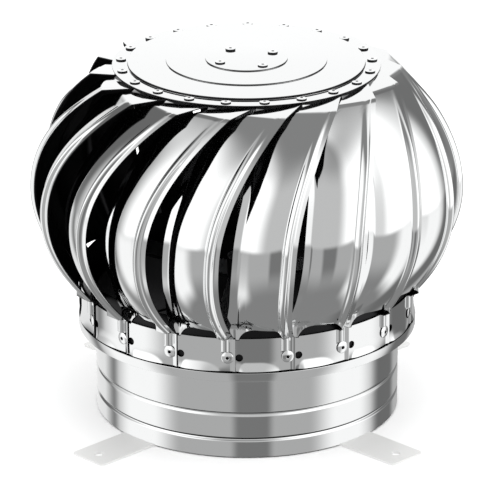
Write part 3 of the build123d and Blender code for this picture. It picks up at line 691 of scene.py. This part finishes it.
# Stations of the flange: radius, left and right angle, drop of the left and the right end
FLANGE_ROWS = (
    (87.6, 10.2, 29.2, 1.5, 0.7),
    (86.0, 10.6, 29.8, 0.0, 0.0),
    (80.4, 11.0, 30.3, 0.0, 0.0),
)
FLANGE_SEAT, FLANGE_RISE = 233.4, 0.95


def polar(radius, angle, z):
    """The point at a radius and an angle in degrees round the axis."""
    a = np.radians(angle)
    return np.stack(np.broadcast_arrays(radius * np.sin(a), -radius * np.cos(a), z), axis=-1)


def flange_rows(fold):
    """Rows of the flange folded in under the rim, straight from right to left.

    Between stations a point is near + t (far - near). Each station runs from its right end at
    the seat plus rise to its left end at the seat, each less its own drop.
    """
    u = np.linspace(0, 1, fold.shape[0])[:, None]
    stations = [fold]
    for radius, left_angle, right_angle, left_drop, right_drop in FLANGE_ROWS:
        right = polar(radius, right_angle, FLANGE_SEAT + FLANGE_RISE - right_drop)
        left = polar(radius, left_angle, FLANGE_SEAT - left_drop)
        stations.append(right + u * (left - right))
    rows = []
    for near, far in zip(stations, stations[1:]):
        t = np.linspace(0, 1, 7)[1:, None, None]
        rows.append(near[None] + t * (far - near)[None])
    return np.concatenate(rows)


# The tab: its pilot hole, its radius, the height and angles of its step over the next tab, and
# its heights, with a lower top left of LAP_ANGLE
PILOT_R, PILOT_ANGLE, PILOT_Z = 2.5, -16.15, 73.9
TAB_R, JOGGLE, JOGGLE_ANGLES = 109.32, 0.62, (-19.3, -17.6)
TAB_BOTTOM, TAB_BEND, LAP_TOP, TAB_TOP, LAP_ANGLE = 64.7, 77.2, 85.8, 86.8, -16.1
# Its foot flares between the laps, its right edge stands off, and the bead's stub is round
FLARE, FLARE_TOP, FLARE_LEFT, FLARE_RIGHT = 0.02, 73.5, (-17.8, -14.0), (-9.5, 2.0)
LIFT, LIFT_ANGLES = 0.9, (0.9, 2.6)
STUB_R, STUB_MIDDLE, STUB_DEPTH, STUB_FOOT = 2.8, 1.6, 0.6, (77.0, 78.5)
# Grid lines, closer together round the pilot hole and the stub: start, end and count
TAB_COLUMNS = ((-22.6, -18.4, 12), (-18.4, -13.9, 23), (-13.9, -3, 16), (-3, 2.6, 40))
TAB_ROWS = ((TAB_BOTTOM, 70.6, 9), (70.6, TAB_BEND, 19), (TAB_BEND, TAB_TOP, 22))


def pierce(across, height, radius):
    """A round hole at the origin of a fine grid of plane points.

    Faces whose middles lie within radius are marked as gone, and the points between gone and
    kept faces move straight away from the middle onto the circle.
    """
    middle_x = (across[:-1, :-1] + across[1:, 1:]) / 2
    middle_z = (height[:-1, :-1] + height[1:, 1:]) / 2
    gone = np.hypot(middle_x, middle_z) < radius
    padded = np.pad(gone, 1).astype(int)
    touching = padded[:-1, :-1] + padded[1:, :-1] + padded[:-1, 1:] + padded[1:, 1:]
    at_edge = (touching > 0) & (touching < 4)
    scale = np.where(at_edge, radius / np.maximum(np.hypot(across, height), WELD), 1.0)
    return across * scale, height * scale, gone


def spans(parts):
    """Evenly spaced values of several (start, end, count) in a row, without double ends."""
    values = [np.linspace(*part) for part in parts]
    return np.concatenate([part[:-1] for part in values[:-1]] + values[-1:])


def tab_shell():
    """The blade's foot: a sector of the band's cylinder that steps out to lap over the next tab.

    r = inner radius, then a smooth step of 0.62 over the joggle. Towards its foot the tab
    flares out by 0.02 (73.5 - z)^2 between the laps, and its right edge stands off by 0.9.
    The bead's stub is part of a cylinder of radius 2.8 whose lower end runs out over 1.5 mm.
    """
    angle, z = np.meshgrid(spans(TAB_COLUMNS), spans(TAB_ROWS))
    lowered = (TAB_TOP - LAP_TOP) * (angle < LAP_ANGLE)
    z = z - lowered * np.clip((z - TAB_BEND) / (TAB_TOP - TAB_BEND), 0, None)
    across, height, gone = pierce(np.radians(angle - PILOT_ANGLE) * TAB_R, z - PILOT_Z, PILOT_R)
    angle, z = PILOT_ANGLE + np.degrees(across / TAB_R), PILOT_Z + height
    radius = TAB_R + JOGGLE * smooth(angle, *JOGGLE_ANGLES)
    between_laps = smooth(angle, *FLARE_LEFT) * (1 - smooth(angle, *FLARE_RIGHT))
    radius += FLARE * np.clip(FLARE_TOP - z, 0, None) ** 2 * between_laps
    radius += LIFT * smooth(angle, *LIFT_ANGLES)
    aside = np.radians(angle) * TAB_R + STUB_MIDDLE
    stub = np.sqrt(np.clip(STUB_R**2 - aside**2, 0, None)) - STUB_DEPTH
    radius += np.clip(stub, 0, None) * smooth(z, *STUB_FOOT)
    # the tab's back and cut edges take the near-black painted shade too
    return sheet_shell(polar(radius, angle, z), TAB_SHEET, 0, 1, 1, gone)


def blade_shells():
    """The whole blade at the front: panel and flange in one sheet, and its tab."""
    panel = panel_grid()
    sheet = np.concatenate([panel, flange_rows(panel[-1])])
    # columns run from the right to the left, so they are turned round to face outwards
    # the back and the cut edges of panel and flange take the near-black painted shade
    return [sheet_shell(sheet[:, ::-1], BLADE_SHEET, 0, 1, 1), tab_shell()]


def add_blades():
    """Eighteen equal blades, each turned to its own rivet's angle."""
    shells = blade_shells()
    for k in range(BLADE_COUNT):
        angle = FIRST_ANGLE + PITCH * k
        turned_shells = [(turn(points, angle), faces, index) for points, faces, index in shells]
        piece = mesh_piece(f"pressed_blade_{k + 1:02d}", turned_shells, [MIRROR, ROLLED])
        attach(piece, "rotor")
        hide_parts(f"blade_{k + 1:02d}")


add_blades()

# Finishes of the CAD nodes that keep their own shapes, by the start of their names. The first
# one that fits counts.
FINISHES = {
    "foot_": SATIN,
    "lower_bracket": PICKLED,
    "upper_bracket": PICKLED,
    "lower_spider": PICKLED,
    "clamp_ring": PICKLED,
    "bearing_housing": PICKLED,
    "shaft_circlip": PHOSPHATED,
    "housing_circlip": PHOSPHATED,
    "shaft": TURNED,
    "bearing_": GROUND,
    "lower_bush": ACETAL,
}
for name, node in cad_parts.items():
    for start, material in FINISHES.items():
        if name.startswith(start):
            node.data.materials.clear()
            node.data.materials.append(material)
            # the photo's polished neck doesn't show the feet in its reflections
            node.visible_glossy = not name.startswith("foot_")
            break


# Studio: pale floor, white surroundings with a darker room below the horizon
FLOOR_HALF = 6000.0


def pale_floor():
    """A plain matt floor under the feet; polished metal sees the room's own gradient instead."""
    mesh = bpy.data.meshes.new("studio_floor")
    signs = ((-1, -1), (1, -1), (1, 1), (-1, 1))
    corners = [(x * FLOOR_HALF * MM, y * FLOOR_HALF * MM, 0) for x, y in signs]
    mesh.from_pydata(corners, [], [(0, 1, 2, 3)])
    floor = bpy.data.objects.new("studio_floor", mesh)
    bpy.context.scene.collection.objects.link(floor)
    # White matt studio backdrop, without any gloss
    material, _, shader = new_material("white_matt_floor", "#FBFBFB")
    shader.inputs["Roughness"].default_value = 0.9
    shader.inputs["Specular IOR Level"].default_value = 0.0
    mesh.materials.append(material)
    floor.visible_glossy = False


# Cards of soft light, each laid over the ones before it: middle azimuth from the front, width,
# soft edge, middle elevation, height, soft edge, all in degrees, and its light. DIM is the
# light beside them.
DIM = 0.265
UPPER_CARDS = (
    (0, 236, 24, 15, 84, 26, 0.62),
    (-66, 68, 30, 18, 74, 26, 1.36),
    (66, 76, 28, 22, 76, 24, 1.42),
    (-136, 28, 14, 28, 60, 30, 0.16),
    (130, 24, 14, 30, 52, 20, 0.19),
    (180, 48, 12, 20, 92, 24, 1.15),
    (-153, 16, 10, 2, 28, 14, 0.93),
)
LOWER_CARDS = (
    (0, 360, 10, -10, 72, 30, 0.48),
    (-88, 48, 26, -30, 48, 18, 1.14),
    (83, 46, 26, -32, 56, 18, 1.14),
    (4, 28, 8, -16, 52, 30, 0.212),
    (-123, 8, 10, -18, 28, 10, 0.25),
    (130, 32, 14, -30, 80, 20, 0.17),
    (-158, 48, 14, -20, 52, 20, 0.89),
)
# The lower cards give way to the upper ones between these elevations
HORIZON = (-11.5, -5.5)
OVERHEAD_ENERGY, OVERHEAD_ANGLE = 2.6, 100


def card_mask(tree, azimuth, elevation, card):
    """How much of a card lies in a direction: the product of its two soft spans."""
    middle, width, edge, height, tall, edge_up, _ = card
    turned = add(tree, "ShaderNodeMath", {"operation": "SUBTRACT"}, {1: middle}, {0: azimuth})
    turned = add(
        tree, "ShaderNodeMath", {"operation": "WRAP"}, {1: 180, 2: -180}, {0: turned.outputs[0]}
    )
    above = add(tree, "ShaderNodeMath", {"operation": "SUBTRACT"}, {1: height}, {0: elevation})
    shares = []
    for way, span, soft in ((turned, width, edge), (above, tall, edge_up)):
        size = add(tree, "ShaderNodeMath", {"operation": "ABSOLUTE"}, links={0: way.outputs[0]})
        share = add(
            tree,
            "ShaderNodeMapRange",
            {"interpolation_type": "SMOOTHSTEP"},
            {"From Min": (span + soft) / 2, "From Max": (span - soft) / 2},
            {"Value": size.outputs[0]},
        )
        shares.append(share.outputs["Result"])
    both = add(tree, "ShaderNodeMath", {"operation": "MULTIPLY"}, links=dict(enumerate(shares)))
    return both.outputs[0]


def card_light(tree, azimuth, elevation, cards):
    """The light of a layer of cards, each laid over the ones before it."""
    light = None
    for card in cards:
        mix = add(
            tree,
            "ShaderNodeMix",
            {"data_type": "FLOAT"},
            {"A": DIM, "B": card[-1]},
            {"Factor": card_mask(tree, azimuth, elevation, card)},
        )
        if light is not None:
            tree.links.new(light, mix.inputs["A"])
        light = mix.outputs["Result"]
    return light


def studio_world():
    """Light by direction: soft white cards at both sides and behind, above and below a horizon.

    azimuth = atan2(x, -y) and elevation = asin(z) of the direction, in degrees.
    """
    world = bpy.data.worlds.new("studio_room")
    bpy.context.scene.world = world
    world.use_nodes = True
    tree = world.node_tree
    direction = add(tree, "ShaderNodeTexCoord").outputs["Generated"]
    axes = add(tree, "ShaderNodeSeparateXYZ", links={"Vector": direction}).outputs
    ahead = add(tree, "ShaderNodeMath", {"operation": "MULTIPLY"}, {1: -1}, {0: axes["Y"]})
    aside = add(
        tree,
        "ShaderNodeMath",
        {"operation": "ARCTAN2"},
        links={0: axes["X"], 1: ahead.outputs[0]},
    )
    upward = add(tree, "ShaderNodeMath", {"operation": "ARCSINE"}, links={0: axes["Z"]})
    azimuth, elevation = (
        add(tree, "ShaderNodeMath", {"operation": "DEGREES"}, links={0: way.outputs[0]}).outputs[0]
        for way in (aside, upward)
    )
    start, end = HORIZON
    over = add(
        tree,
        "ShaderNodeMapRange",
        {"interpolation_type": "SMOOTHSTEP"},
        {"From Min": start, "From Max": end},
        {"Value": elevation},
    )
    room = add(
        tree,
        "ShaderNodeMix",
        {"data_type": "FLOAT"},
        links={
            "Factor": over.outputs["Result"],
            "A": card_light(tree, azimuth, elevation, LOWER_CARDS),
            "B": card_light(tree, azimuth, elevation, UPPER_CARDS),
        },
    )
    background = tree.nodes["Background"]
    background.inputs["Color"].default_value = (1, 1, 1, 1)
    tree.links.new(room.outputs["Result"], background.inputs["Strength"])


def floor_light():
    """A wide soft light overhead for the matt floor alone, kept out of every reflection."""
    data = bpy.data.lights.new("overhead_light", "SUN")
    data.energy = OVERHEAD_ENERGY
    data.angle = math.radians(OVERHEAD_ANGLE)
    light = bpy.data.objects.new("overhead_light", data)
    light.visible_glossy = False
    bpy.context.scene.collection.objects.link(light)


floor_light()
pale_floor()
studio_world()
bpy.context.scene.view_settings.view_transform = "Standard"
